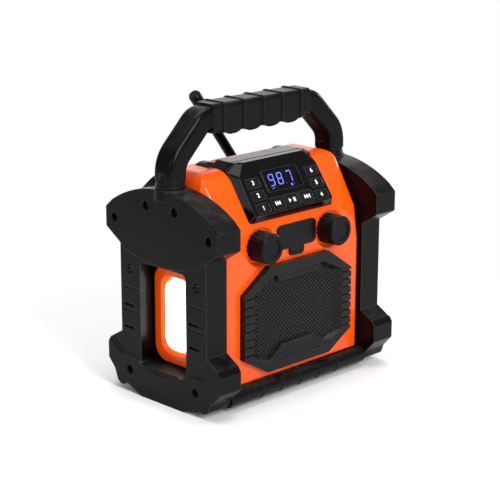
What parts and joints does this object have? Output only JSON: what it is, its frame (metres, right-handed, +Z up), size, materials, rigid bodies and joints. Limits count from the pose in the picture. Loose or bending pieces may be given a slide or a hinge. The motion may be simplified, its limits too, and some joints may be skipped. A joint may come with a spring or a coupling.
{
  "type": "jobsite radio",
  "caption": "Rugged portable radio with thick end guards, a fixed carrying handle, a leaning display panel, two knobs, an eight-sided speaker grille, a side lamp and a folding antenna.",
  "frame": {"origin": "on the ground, midway between the end guards and midway between front and rear", "axes": "+X to the right along the front, -Y out of the front, +Z up"},
  "size_m": [0.2198, 0.138, 0.2504],
  "materials": {
    "orange_plastic": "satin moulded",
    "black_plastic": "fine grain",
    "bumper_rubber": "satin grain",
    "soft_rubber": "matt",
    "knob_rubber": "matt",
    "key_plastic": "fine grain",
    "clear_plastic": "clear, tinted",
    "screen_black": "display module with lit blue digits",
    "black_metal": "powder coat",
    "black_steel": "blackened",
    "bright_steel": "plated",
    "circuit_green": "solder mask",
    "cell_wrap": "plain wrap",
    "cone_paper": "pressed paper",
    "led_white": "phosphor",
    "lens_white": "frosted, lit"
  },
  "bodies": {
    "radio": {"left_guard": "bumper_rubber", "right_guard": "bumper_rubber", "guard_screws": "black_steel", "front_casing": "orange_plastic", "rear_cover": "black_plastic", "rear_screws": "black_steel", "battery_door_pins": "bright_steel", "battery_tray": "black_plastic", "battery_cells": "cell_wrap", "battery_contacts": "bright_steel", "handle_frame": "black_plastic", "handle_grip": "soft_rubber", "handle_collars": "soft_rubber", "front_rail_tube": "black_steel", "front_rail_sleeve": "soft_rubber", "rear_rail_tube": "black_steel", "rear_rail_sleeve": "soft_rubber", "display_housing": "black_plastic", "display_window": "clear_plastic", "lcd_module": "screen_black", "keypad_board": "circuit_green", "tuning_encoder": "black_plastic", "volume_potentiometer": "black_plastic", "port_panel": "black_plastic", "usb_socket": "bright_steel", "round_jacks": "black_plastic", "grille_frame": "black_plastic", "grille_mesh": "black_metal", "speaker_gasket": "soft_rubber", "speaker_basket": "bright_steel", "speaker_cone": "cone_paper", "speaker_magnet": "black_steel", "lamp_tray": "black_plastic", "lamp_bezel": "orange_plastic", "lamp_board": "circuit_green", "lamp_leds": "led_white", "lamp_lens": "lens_white", "right_end_panel": "black_plastic", "antenna_socket": "black_plastic", "main_board": "circuit_green", "tuner_module": "bright_steel"},
    "button_1": {"button_1": "key_plastic"},
    "button_2": {"button_2": "key_plastic"},
    "button_3": {"button_3": "key_plastic"},
    "button_4": {"button_4": "key_plastic"},
    "button_5": {"button_5": "key_plastic"},
    "button_6": {"button_6": "key_plastic"},
    "back_button": {"back_button": "key_plastic"},
    "play_button": {"play_button": "key_plastic"},
    "next_button": {"next_button": "key_plastic"},
    "tuning_knob": {"left_knob": "knob_rubber", "left_knob_shaft": "bright_steel"},
    "volume_knob": {"right_knob": "knob_rubber", "right_knob_shaft": "bright_steel"},
    "port_cover": {"port_cover": "soft_rubber"},
    "battery_door": {"battery_door": "black_plastic"},
    "antenna_fork": {"antenna_swivel": "bright_steel", "antenna_pin": "bright_steel"},
    "antenna": {"antenna_rod": "soft_rubber", "antenna_cap": "soft_rubber"}
  },
  "joints": [
    {"name": "button_1_press", "type": "slide", "parent": "radio", "child": "button_1", "axis": [0, 0.829, -0.5592], "range_m": [0, 0.001], "stiffness_N_per_m": 300},
    {"name": "button_2_press", "type": "slide", "parent": "radio", "child": "button_2", "axis": [0, 0.829, -0.5592], "range_m": [0, 0.001], "stiffness_N_per_m": 300},
    {"name": "button_3_press", "type": "slide", "parent": "radio", "child": "button_3", "axis": [0, 0.829, -0.5592], "range_m": [0, 0.001], "stiffness_N_per_m": 300},
    {"name": "button_4_press", "type": "slide", "parent": "radio", "child": "button_4", "axis": [0, 0.829, -0.5592], "range_m": [0, 0.001], "stiffness_N_per_m": 300},
    {"name": "button_5_press", "type": "slide", "parent": "radio", "child": "button_5", "axis": [0, 0.829, -0.5592], "range_m": [0, 0.001], "stiffness_N_per_m": 300},
    {"name": "button_6_press", "type": "slide", "parent": "radio", "child": "button_6", "axis": [0, 0.829, -0.5592], "range_m": [0, 0.001], "stiffness_N_per_m": 300},
    {"name": "back_button_press", "type": "slide", "parent": "radio", "child": "back_button", "axis": [0, 0.829, -0.5592], "range_m": [0, 0.001], "stiffness_N_per_m": 300},
    {"name": "play_button_press", "type": "slide", "parent": "radio", "child": "play_button", "axis": [0, 0.829, -0.5592], "range_m": [0, 0.001], "stiffness_N_per_m": 300},
    {"name": "next_button_press", "type": "slide", "parent": "radio", "child": "next_button", "axis": [0, 0.829, -0.5592], "range_m": [0, 0.001], "stiffness_N_per_m": 300},
    {"name": "tuning_turn", "type": "hinge", "parent": "radio", "child": "tuning_knob", "pos_m": [-0.042, -0.05, 0.1345], "axis": [0, 1, 0], "continuous": true},
    {"name": "volume_turn", "type": "hinge", "parent": "radio", "child": "volume_knob", "pos_m": [0.042, -0.05, 0.1345], "axis": [0, 1, 0], "range_deg": [-150, 150]},
    {"name": "port_cover_lift", "type": "hinge", "parent": "radio", "child": "port_cover", "pos_m": [0, -0.0503, 0.148], "axis": [-1, 0, 0], "range_deg": [0, 110]},
    {"name": "battery_door_swing", "type": "hinge", "parent": "radio", "child": "battery_door", "pos_m": [0, 0.0494, 0.0363], "axis": [-1, 0, 0], "range_deg": [0, 90]},
    {"name": "antenna_swing", "type": "hinge", "parent": "radio", "child": "antenna_fork", "pos_m": [0.05, 0.0585, 0.157], "axis": [0, 1, 0], "range_deg": [-50, 80]},
    {"name": "antenna_tilt", "type": "hinge", "parent": "antenna_fork", "child": "antenna", "pos_m": [0.05, 0.0585, 0.157], "axis": [-0.8028, 0, -0.5962], "range_deg": [0, 90]}
  ]
}
